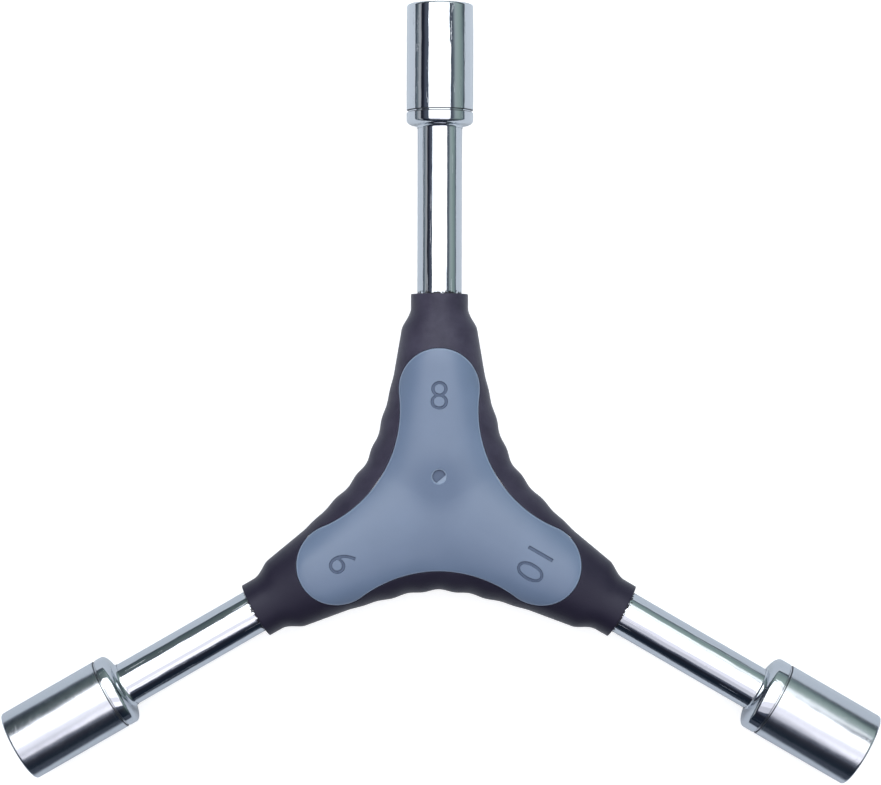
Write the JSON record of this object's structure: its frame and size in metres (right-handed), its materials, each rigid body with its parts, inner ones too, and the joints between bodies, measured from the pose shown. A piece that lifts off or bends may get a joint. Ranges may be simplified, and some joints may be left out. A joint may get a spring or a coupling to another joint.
{
  "type": "y wrench",
  "caption": "Y-shaped socket wrench: chromed hexagon sockets on round bars that meet in a flat moulded hub with a soft, scalloped grip.",
  "frame": {"origin": "the middle of the hub's flat rear land, below the point where the bar axes cross", "axes": "+Z out of the hub's front face; +Y along the arm of the 8 mm socket; the 9 mm arm points to -X and -Y and the 10 mm arm to +X and -Y"},
  "size_m": [0.158, 0.1399, 0.0148],
  "materials": {
    "inlay": "fine satin moulding, grey-blue",
    "grip": "matt soft overmould, purplish dark grey",
    "polished_chrome": "bright polished chrome plate",
    "satin_chrome": "slightly softer chrome plate"
  },
  "bodies": {
    "root": {"core": "inlay", "soft_grip": "grip", "shank_8mm": "polished_chrome", "shank_9mm": "polished_chrome", "shank_10mm": "polished_chrome", "socket_8mm": "polished_chrome", "socket_9mm": "satin_chrome", "socket_10mm": "satin_chrome"}
  },
  "joints": []
}
